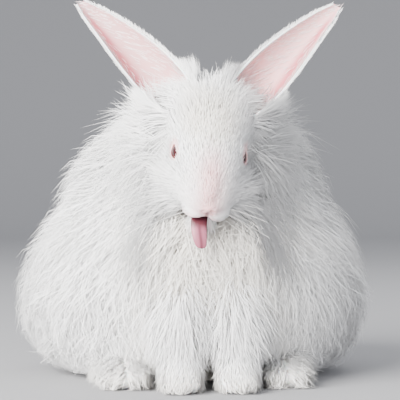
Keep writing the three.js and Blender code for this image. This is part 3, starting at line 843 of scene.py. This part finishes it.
def faceWool():
    def weigh(points, normals):
        p = inHeadFrame(points)
        toNose, cheek, crown, *_ = headZones(p)
        hidden = risen(p[:, 1], 30, 10) * 0.7
        return furAllowed(p) * (1 + 0.9 * faded(toNose, 45, 30) + 0.8 * cheek + 0.6 * crown - hidden)

    root, normal = rootsOn(skinHead, faceFur["tufts"], weigh)
    p = inHeadFrame(root)
    toNose, cheek, crown, chin, throat = headZones(p)
    count = len(root)
    away = unit(p - [0, -60, -12])
    downThere = headDirections.T @ np.array([0, 0, -1.0])
    side = np.sign(p[:, 0])[:, None] * np.array([[1.0, 0, 0]])
    lie = away * (1 - 0.5 * cheek[:, None]) + cheek[:, None] * (0.4 * downThere + 1.3 * side)
    lie += (chin + throat)[:, None] * 1.2 * downThere
    lie += crown[:, None] * 0.35 * side * risen(np.abs(p[:, :1]), 4, 20)
    lie += random.normal(0, 0.12, (count, 3))
    earRoots = [(side * (ear["x"] + 3), ear["y"] - 8, ear["z"] + 2) for side in (-1, 1)]
    byEar = faded(nearer(p, earRoots), 27, 12)
    for side in (-1, 1):
        upEar = np.array((headMatrix.inverted() @ earMatrix(side)).to_3x3() @ Vector((0, 0, 1)))
        lie += (byEar * (p[:, 0] * side > 0))[:, None] * 1.6 * unit(upEar)
    lie += crown[:, None] * random.normal(0, 0.22, (count, 3))
    lie = lie @ headDirections.T
    toLid = nearer(p, lidPlaces)
    size = faceFur["short"] + (faceFur["long"] - faceFur["short"]) * risen(toNose, 8, 40)
    size *= 0.45 + 0.55 * risen(toLid, 7, 9)
    size += faceFur["cheek"] * cheek * (0.15 + 0.85 * risen(toNose, 24, 28))
    size += faceFur["crown"] * crown + faceFur["chin"] * np.maximum(chin, throat)
    size *= 1 + random.normal(0, 0.16, count)
    size = np.maximum(size, 1.4)
    size = np.maximum(size, faceFur["byEar"] * byEar)
    lift = 0.22 + 0.12 * random.random(count) + 0.45 * cheek + 0.4 * crown + 0.15 * chin + 0.2 * byEar
    drop = 0.05 + 0.3 * cheek + 0.3 * np.maximum(chin, throat)
    paths, across = lyingPaths(root, normal, lie, size * mm, lift, drop, np.linspace(0, 1, 4), 0.06)
    width = hairWidth(faceFur, count) * (1 - 0.25 * crown)
    fluffy = np.clip(cheek + crown, 0, 1)[:, None]
    outward = unit(normal * (1 - fluffy) + fromHeadBack(paths) * fluffy + 0.2 * unit(lie))
    marks = headMarks(p)
    # the painted shade stays on the skin, off the fur
    del marks["paintedShade"]
    marks["tint"] = random.random(count)
    long = size > faceFur["longFrom"]
    for name, own, rows, taper in (
        ("cheekFur", long, [0, 1, 2, 3], faceFur["taper"]),
        ("faceFur", ~long, [0, 2, 3], faceFur["shortTaper"]),
    ):
        tuftPiece(name, paths[own][:, rows], across[own], width[own], taper, headUv(p[own]),
                  {mark: values[own] for mark, values in marks.items()}, outward[own])


ruff = {"tufts": 7500, "side": 44, "nape": 27, "width": 0.7, "from": 2}


def ruffWool():
    def weigh(points, normals):
        p = inHeadFrame(points)
        behind = risen(p[:, 1], ruff["from"], 12)
        sides = faded(p[:, 2], 12 + 12 * risen(p[:, 1], 10, 10), 12) * risen(np.abs(p[:, 0]), 6, 8)
        nape = risen(p[:, 1], 26, 10) * (1 + risen(p[:, 2], -4, 10))
        return behind * np.maximum(sides, nape)

    root, normal = rootsOn(skinHead, ruff["tufts"], weigh)
    p = inHeadFrame(root)
    count = len(root)
    sideways = np.sign(p[:, 0]) * risen(np.abs(p[:, 0]), 4, 16)
    above = risen(p[:, 2], 6, 14)
    lie = np.stack([1.5 * sideways, 0.35 + 0.5 * above, 0.1 * above - 0.55 * (1 - above)], 1)
    lie += random.normal(0, 0.16, (count, 3))
    size = ruff["side"] + (ruff["nape"] - ruff["side"]) * above
    size = size * risen(p[:, 1], ruff["from"] - 10, 22) * (1 + random.normal(0, 0.15, count))
    lift = 0.35 + 0.3 * random.random(count) + 0.05 * above
    drop = 0.3 * (1 - above) + 0.1
    paths, across = lyingPaths(root, normal, lie, np.maximum(size, 6) * mm, lift, drop, wool["steps"], 0.07)
    width = hairWidth(ruff, count)
    tuftPiece("ruff", paths, across, width, wool["taper"], headUv(p),
              {"tint": random.random(count), "stain": 0 * size}, fromHeadBack(paths))


legFur = {
    "tufts": 12000, "high": 25, "low": 8, "width": 0.75, "steps": [0, 0.5, 1], "taper": [0.95, 0.8, 0],
    "top": 92, "foot": 12,
}


def legWool():
    def weigh(points, normals):
        p = moved(points, bodyMatrix.inverted())
        legs = (np.abs(p[:, 0]) < 46) & (p[:, 1] < -50) & (p[:, 2] < legFur["top"])
        feet = (np.abs(np.abs(p[:, 0]) - hindFoot["x"]) < 30) & (p[:, 1] < 12) & (p[:, 2] < 40)
        return (legs | feet) * (p[:, 2] > 1.2) * (normals[:, 2] > -0.75)

    root, normal = rootsOn(skin, legFur["tufts"], weigh)
    p = moved(root, bodyMatrix.inverted())
    count = len(root)
    high = risen(p[:, 2], 16, 52)
    foot = np.abs(p[:, 0]) > 44
    forward = faded(p[:, 1], -96, 14) * faded(p[:, 2], 30, 16)
    forward = np.where(foot, faded(p[:, 2], 36, 20), forward)
    fromFoot = foot * np.sign(np.abs(p[:, 0]) - hindFoot["x"])
    sideways = np.sign(p[:, 0]) * (0.15 + 0.5 * fromFoot)
    lie = np.stack([sideways, -1.1 * forward - 0.15, 0.5 * forward - 1], 1)
    lie += random.normal(0, 0.14, (count, 3))
    size = legFur["low"] + (legFur["high"] - legFur["low"]) * high
    size += foot * (4 + legFur["foot"] * (1 - forward))
    size *= 1 + random.normal(0, 0.18, count)
    lift = 0.22 + 0.35 * high + 0.2 * random.random(count)
    paths, across = lyingPaths(root, normal, lie, size * mm, lift, 0.12 + 0.1 * high, legFur["steps"], 0.12)
    paths[..., 2] = np.maximum(paths[..., 2], 0.9 * mm)
    width = hairWidth(legFur, count)
    uv = np.stack([np.arctan2(p[:, 0], -p[:, 1] - 70) / (2 * math.pi) + 0.5, p[:, 2] / 100], 1)
    stain = 0.7 * faded(p[:, 2], 28, 24) + 0.5 * faded(np.abs(p[:, 0]), 10, 8)
    asBody = 0.6 * high[:, None]
    outward = unit(normal * (1 - asBody) + asBody * turned(outwardFor(p[:, None]), bodyMatrix))
    tuftPiece("legFur", paths, across, width, legFur["taper"], uv,
              {"tint": random.random(count), "stain": stain}, outward)


earFur = {
    "tufts": 7600, "back": 4.5, "rim": 5, "inside": 8, "collar": 11, "width": 0.6, "taper": [0.85, 0.75, 0],
}


# How much of the hair inside the ear stays: all at the rims, a third on the side of the crown.
def innerShare(across, side):
    return np.maximum(faded(across * side, 0.15, 0.5) * 0.35, risen(np.abs(across), 0.84, 0.12))


def earWool(side):
    count = earFur["tufts"]
    up = random.random(count) ** 1.05 * 0.985
    kind = random.random(count)
    rim = kind < 0.26
    inner = kind > 0.82
    atRim = np.sign(random.random(count) - 0.5) * random.uniform(0.93, 1.0, count)
    across = np.where(rim, atRim, around(1, count))
    collar = (kind > 0.26) & (kind < 0.4) & (across * side > -0.35)
    up = np.where(collar, 0.13 * random.random(count), up)
    keep = ~inner | (random.random(count) < innerShare(across, side) + 0.05)
    up, across, rim, inner, collar = (values[keep] for values in (up, across, rim, inner, collar))
    count = len(up)
    thick = np.where(inner, -1, 1) * halfWall(up)
    root = earPoint(side, up, across, thick * 0.8)
    ahead = unit(earPoint(side, np.minimum(up + 0.02, 1), across, thick) - root)
    over = unit(earPoint(side, up, across, thick + np.where(inner, -1.0, 1.0)) - root)
    sideways = unit(np.cross(ahead, over)) * np.where(inner, 1, -1)[:, None]
    outAcross = sideways * np.sign(across)[:, None]
    size = np.where(rim, earFur["rim"], np.where(inner, earFur["inside"], earFur["back"]))
    size = size * (1 - 0.35 * up) * (1 + random.normal(0, 0.2, count))
    size += np.where(inner, 12, 20) * faded(up, 0.3, 0.3)
    size = np.where(collar, earFur["collar"] * (1 + random.normal(0, 0.2, count)), size)
    lie = ahead + (rim * 0.35 * faded(up, 1, 0.2))[:, None] * outAcross
    lie += random.normal(0, 0.1, (count, 3))
    lie += inner[:, None] * (side * np.array([[1.0, 0, 0]])) * 0.55
    base = faded(up, 0.24, 0.2)
    lift = 0.19 + 0.1 * random.random(count) + 0.5 * base * random.random(count)
    matrix = earMatrix(side)
    paths, sideOf = lyingPaths(moved(root, matrix), turned(over, matrix), turned(lie, matrix), size * mm,
                               lift, np.full(count, 0.03), np.linspace(0, 1, 3), 0.06)
    width = hairWidth(earFur, count)
    shading = turned(np.where(rim[:, None], outAcross * 0.8 - over * 0.7, over), matrix)
    shading = unit(shading) * (1 - base[:, None]) + fromHeadBack(paths) * base[:, None]
    name = "earFurLeft" if side > 0 else "earFurRight"
    uv = np.stack([(across + 1) / 4 + 0.5 * inner, up], 1)
    pink = np.where(inner, 0.6, 0.06 * (1 - rim))
    tuftPiece(name, paths, sideOf, width, earFur["taper"], uv,
              {"tint": random.random(count), "stain": 0 * up, "pink": pink}, unit(shading))


faceWool()
ruffWool()
legWool()
for side in (-1, 1):
    earWool(side)


# The eyes and the tongue are smooth pieces in place of the solids.

def eyeBall(side):
    ball = ballAt("eye", eyeCentre(side), [eye["radius"] - eye["shrink"]] * 3, headMatrix, segments=64)
    ball.data.shade_smooth()
    return ball


tongue = {
    "width": 13.5, "thick": 4, "groove": 0.5,
    "path": [(-3, -42, -17), (-4.5, -51, -18), (-5, -59.5, -19.5), (-4, -68, -23), (-2, -75.5, -28.5)],
}


def tongueSkin():
    f = np.linspace(0, 1, 46)
    route = np.stack([spline([p[k] for p in tongue["path"]], f) for k in range(3)], 1)
    ahead = unit(np.gradient(route, axis=0))
    over = unit(np.stack([0 * f, -ahead[:, 2], ahead[:, 1]], 1))
    taper = np.sqrt(np.maximum(1 - f ** 9, 0.02)) * (1 - 0.16 * f)
    rings = []
    for angle in ringAngles(36):
        top = max(math.sin(angle), 0)
        dip = 1 - tongue["groove"] * math.exp(-(math.cos(angle) / 0.22) ** 2) * (top > 0)
        wide = math.cos(angle) * tongue["width"] / 2 * taper
        tall = math.sin(angle) * tongue["thick"] / 2 * taper * dip
        rings.append(route + np.outer(wide, [1, 0, 0]) + over * tall[:, None])
    made = meshFromRings("tongue", np.array(rings).transpose(1, 0, 2), headMatrix)
    made.data.shade_smooth()
    return made


whisker = {"each": 9, "length": 46, "radius": 0.1, "droop": 5, "seed": 4}


# Whiskers: thin tapered lines that leave the lips, made by a node tree on a mesh of root points.
def whiskerTree(material):
    tree = bpy.data.node_groups.new("whiskers", "GeometryNodeTree")
    tree.interface.new_socket("Roots", in_out="INPUT", socket_type="NodeSocketGeometry")
    for name in ("Length", "Radius", "Droop"):
        tree.interface.new_socket(name, in_out="INPUT", socket_type="NodeSocketFloat")
    tree.interface.new_socket("Seed", in_out="INPUT", socket_type="NodeSocketInt")
    tree.interface.new_socket("Whiskers", in_out="OUTPUT", socket_type="NodeSocketGeometry")
    given = Socket(tree).node("NodeGroupInput")
    take = {socket.name: Socket(tree, socket) for socket in given.out.node.outputs if socket.name}
    line = given.node("GeometryNodeCurvePrimitiveLine", {
        "End": given.node("ShaderNodeCombineXYZ", {"Z": take["Length"]}),
    })
    fine = given.node("GeometryNodeResampleCurve", {"Curve": line, "Count": 9})
    aim = given.node("GeometryNodeInputNamedAttribute", {"Name": "aim"}, data_type="FLOAT_VECTOR")
    turned = given.node("FunctionNodeAlignRotationToVector", {"Vector": aim}, axis="Z")
    sizes = given.node("FunctionNodeRandomValue", {2: 0.65, 3: 1.1, "Seed": take["Seed"]}, output=1)
    placed = given.node("GeometryNodeInstanceOnPoints", {
        "Points": take["Roots"], "Instance": fine, "Rotation": turned, "Scale": sizes,
    })
    real = given.node("GeometryNodeRealizeInstances", {"Geometry": placed})
    along = given.node("GeometryNodeSplineParameter")
    sink = given.node("ShaderNodeCombineXYZ", {"Z": along * along * take["Droop"] * -1.0})
    bent = given.node("GeometryNodeSetPosition", {"Geometry": real, "Offset": sink})
    thin = given.node("GeometryNodeSetCurveRadius", {"Curve": bent, "Radius": 1 - along * 0.85})
    ring = given.node("GeometryNodeCurvePrimitiveCircle", {"Resolution": 4, "Radius": take["Radius"]})
    tubes = given.node("GeometryNodeCurveToMesh", {"Curve": thin, "Profile Curve": ring, "Fill Caps": True})
    whole = given.node("GeometryNodeRealizeInstances", {"Geometry": tubes})
    done = given.node("GeometryNodeSetMaterial", {"Geometry": whole, "Material": material})
    tree.links.new(done.out, tree.nodes.new("NodeGroupOutput").inputs["Whiskers"])
    return tree


def whiskers(material):
    roots, aims = [], []
    for side in (-1, 1):
        for k in range(whisker["each"]):
            row, place = k % 3, k // 3
            roots.append((side * (8.5 + 2.6 * place), -53 + 3.4 * place, -7.5 - 2.7 * row))
            aims.append((side, -0.35 + 0.28 * place, -0.1 - 0.16 * row))
    mesh = bpy.data.meshes.new("whiskers")
    mesh.from_pydata([tuple(p) for p in moved(np.array(roots), headMatrix)], [], [])
    layer = mesh.attributes.new("aim", "FLOAT_VECTOR", "POINT")
    layer.data.foreach_set("vector", (unit(np.array(aims)) @ headDirections.T).astype(np.float32).ravel())
    made = newObject("whiskers", mesh)
    growing = made.modifiers.new("growing", "NODES")
    growing.node_group = whiskerTree(material)
    values = {
        "Length": whisker["length"] * mm, "Radius": whisker["radius"] * mm,
        "Droop": whisker["droop"] * mm, "Seed": whisker["seed"],
    }
    for socket in growing.node_group.interface.items_tree:
        if socket.name in values:
            growing[socket.identifier] = values[socket.name]
    return baked(made)


eyes = {"eye_right": eyeBall(-1), "eye_left": eyeBall(1)}
tonguePiece = tongueSkin()


# Materials.

def finish(name, **constants):  # a new material, its blank socket and a function that feeds its surface
    made = bpy.data.materials.new(name)
    made.use_nodes = True
    surface = made.node_tree.nodes["Principled BSDF"]
    for key, value in constants.items():
        surface.inputs[key.replace("_", " ")].default_value = value

    def feed(key, value):
        made.node_tree.links.new(value.out, surface.inputs[key])

    return made, Socket(made.node_tree), feed


colours = {
    "wool": (0.98, 0.978, 0.975),
    # the wool's colour deep in the coat, with painted shade
    "woolRootShade": (0.955, 0.945, 0.935),
    "stain": (0.8, 0.72, 0.58),
    "pink": (0.86, 0.5, 0.5),
    "earDeep": (0.56, 0.15, 0.18),
    "earPale": (0.76, 0.42, 0.42),
    # painted shade for the mouth and the creases of the lips
    "paintedShade": (0.06, 0.012, 0.015),
    "iris": (0.2, 0.03, 0.03),
    "pupil": (0.035, 0.006, 0.008),
    "tongue": (0.36, 0.11, 0.16),
    # painted shade along the tongue's groove
    "groove": (0.15, 0.035, 0.055),
    # painted shade on the tongue where it lies inside the mouth
    "throat": (0.1, 0.02, 0.03),
}


def woolFinish():
    made, start, feed = finish("wool", Roughness=0.8, Sheen_Weight=0.35, Sheen_Roughness=0.5)
    along = start.mark("along")
    # the wool is painted a little darker towards each tuft's root, as shade deep in the coat, and its tone
    # differs at random from tuft to tuft
    paler = (along + start.mark("tint") * 0.5).step(0.0, 0.7)
    clean = start.mix(paler, colours["woolRootShade"], colours["wool"])
    stained = start.mix(start.mark("stain") * (1 - along * 0.4) * 0.65, clean, colours["stain"])
    feed("Base Color", start.mix(start.mark("pink") * (1 - along * 0.4), stained, colours["pink"]))
    return made


def skinFinish():
    made, start, feed = finish("skin", Roughness=0.6, Subsurface_Weight=0.15, Subsurface_Scale=0.004)
    stained = start.mix(start.mark("stain") * 0.5, colours["wool"], colours["stain"])
    pinked = start.mix(start.mark("pink"), stained, colours["pink"])
    # the mouth and the creases of the lips are painted dark as shade
    feed("Base Color", start.mix(start.mark("paintedShade"), pinked, colours["paintedShade"]))
    return made


def earFinish():
    made, start, feed = finish("earSkin", Roughness=0.55, Subsurface_Weight=0.25, Subsurface_Scale=0.004)
    inner = start.mix(start.mark("deep"), colours["earPale"], colours["earDeep"])
    feed("Base Color", start.mix(start.mark("pale"), inner, colours["wool"]))
    return made


def eyeFinish():
    made, start, feed = finish("eye", Roughness=0.2, Specular_IOR_Level=0.3)
    feed("Base Color", start.mix(start.mark("pupil"), colours["iris"], colours["pupil"]))
    return made


def tongueFinish():
    made, start, feed = finish("tongue", Roughness=0.38, Subsurface_Weight=0.2, Subsurface_Scale=0.003)
    place = start.node("ShaderNodeTexCoord", output=3)
    grain = start.node("ShaderNodeTexNoise", {"Vector": place, "Scale": 1400.0, "Detail": 3.0})
    bump = start.node("ShaderNodeBump", {"Height": grain, "Distance": 0.0003, "Strength": 0.5})
    feed("Normal", bump)
    # the groove and the part inside the mouth are painted darker, as shade
    grooved = start.mix(start.mark("groove"), colours["tongue"], colours["groove"])
    feed("Base Color", start.mix(start.mark("inside"), grooved, colours["throat"]))
    return made


def setMarks(piece, marks):
    for name, values in marks.items():
        layer = piece.data.attributes.new(name, "FLOAT", "POINT")
        layer.data.foreach_set("value", np.asarray(values, np.float32))


def dress(piece, material, nodes=()):
    piece.data.materials.clear()
    piece.data.materials.append(material)
    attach(piece, "root")
    for node in nodes:
        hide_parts(node)


setMarks(skinHead, headMarks(inHeadFrame(pointsOf(skinHead))))
setMarks(skin, {"stain": np.full(len(skin.data.vertices), 0.2)})
woolLook = woolFinish()
skinLook = skinFinish()
for piece in coatPieces:
    dress(piece, woolLook)
bareNodes = ["neck", "torso", "tail"] + [
    part + side for part in ("thigh_", "foreleg_", "hind_foot_") for side in ("left", "right")
]
dress(skin, skinLook, bareNodes)
dress(skinHead, skinLook, ["head"])


def earMarks(piece, side):
    p = moved(pointsOf(piece), earMatrix(side).inverted())
    up = np.clip(p[:, 2] / ear["length"], 0, 1)
    wrap, radius = earRing(up)
    x = p[:, 0] - side * ear["bend"] * up * up
    y = p[:, 1] + radius * np.cos(wrap) * 0.5
    across = np.clip(np.arctan2(x, y) / wrap, -1, 1)
    inner = np.hypot(x, y) < radius - halfWall(up)
    deep = smooth(1 - np.abs(across * side - 0.5) / 0.38) * smooth(up / 0.15) * faded(up, 1, 0.2)
    pale = np.maximum(risen(np.abs(across), 0.9, 0.08), 1 - inner)
    return {"deep": deep * inner, "pale": pale}


earLook = earFinish()
for side, node in ((-1, "ear_right"), (1, "ear_left")):
    piece = earSkin(side)
    setMarks(piece, earMarks(piece, side))
    dress(piece, earLook, [node])
eyeLook = eyeFinish()
for node, piece in eyes.items():
    side = -1 if node == "eye_right" else 1
    looking = unit(np.array(lidTurn(side).to_3x3() @ Vector((side, 0, 0))))
    offset = unit(inHeadFrame(pointsOf(piece)) - np.array(eyeCentre(side)))
    setMarks(piece, {"pupil": risen(offset @ looking, 0.86, 0.05)})
    dress(piece, eyeLook, [node])
local = inHeadFrame(pointsOf(tonguePiece))
middle = spline([p[0] for p in tongue["path"]], np.clip((-42 - local[:, 1]) / 33, 0, 1))
# painted shade: darker along the tongue's groove and where the tongue lies inside the mouth
groove = np.exp(-((local[:, 0] - middle) / 1.3) ** 2)
setMarks(tonguePiece, {"groove": groove, "inside": risen(local[:, 1], -65, 6)})
dress(tonguePiece, tongueFinish(), ["tongue"])
whiskerLook, _, _ = finish("whisker", Roughness=0.4, Base_Color=(0.9, 0.88, 0.86, 1))
dress(whiskers(whiskerLook), whiskerLook)
print("coat triangles", sum(len(piece.data.loops) - 2 * len(piece.data.polygons) for piece in coatPieces))
print("finishes set")

# The studio: a pale floor that curves up into a backdrop, soft light from the viewer's left and front.
studio = {
    "camera": (3, -1250, 152), "lens": 131, "side": 9.0, "back": 7.0, "bend": 2.5, "high": 6.0,
    "world": 1.15, "floor": (0.3, 0.3, 0.31, 1),
}
lights = {
    "key": {"place": (-1.4, -1.8, 1.1), "aim": 0.12, "size": 2.0, "power": 310, "colour": (1, 0.985, 0.96)},
    "fill": {"place": (1.6, -1.4, 0.8), "aim": 0.12, "size": 1.6, "power": 8, "colour": (0.95, 0.97, 1)},
    "back": {"place": (0.6, 1.2, 1.7), "aim": 0.2, "size": 1.0, "power": 14, "colour": (1, 1, 1)},
}


def cyclorama():
    steps = 16
    profile = [(-studio["back"], 0.0), (studio["back"] - studio["bend"], 0.0)]
    for k in range(1, steps + 1):
        turn = math.pi / 2 * k / steps
        profile.append((
            studio["back"] - studio["bend"] + math.sin(turn) * studio["bend"],
            (1 - math.cos(turn)) * studio["bend"],
        ))
    profile.append((studio["back"], studio["high"]))
    points = [(x, y, z) for y, z in profile for x in (-studio["side"], studio["side"])]
    faces = [(i, i + 1, i + 3, i + 2) for i in range(0, len(points) - 2, 2)]
    mesh = bpy.data.meshes.new("floor")
    mesh.from_pydata(points, [], faces)
    made = newObject("floor", mesh)
    mesh.shade_smooth()
    return made


def areaLight(name, place, aim, size, power, colour):  # turned to a point above the middle
    data = bpy.data.lights.new(name, "AREA")
    data.shape = "DISK"
    data.size = size
    data.energy = power
    data.color = colour
    made = newObject(name, data)
    made.location = place
    made.rotation_euler = (Vector((0, 0, aim)) - Vector(place)).to_track_quat("-Z", "Y").to_euler()


floor = cyclorama()
floorLook, _, _ = finish("floor", Roughness=0.9, Base_Color=studio["floor"])
floor.data.materials.append(floorLook)
for name, row in lights.items():
    areaLight(name, **row)
world = bpy.data.worlds.new("world")
bpy.context.scene.world = world
world.use_nodes = True
world.node_tree.nodes["Background"].inputs["Color"].default_value = (0.93, 0.95, 1, 1)
world.node_tree.nodes["Background"].inputs["Strength"].default_value = studio["world"]

cameraData = bpy.data.cameras.new("camera")
cameraData.lens = studio["lens"]
cameraData.sensor_width = 36
cameraData.clip_start = 0.05
camera = newObject("camera", cameraData)
camera.location = toPart @ Vector(studio["camera"])
camera.rotation_euler = (math.pi / 2, 0, 0)
bpy.context.scene.camera = camera
print("studio ready")

bpy.context.view_layer.update()
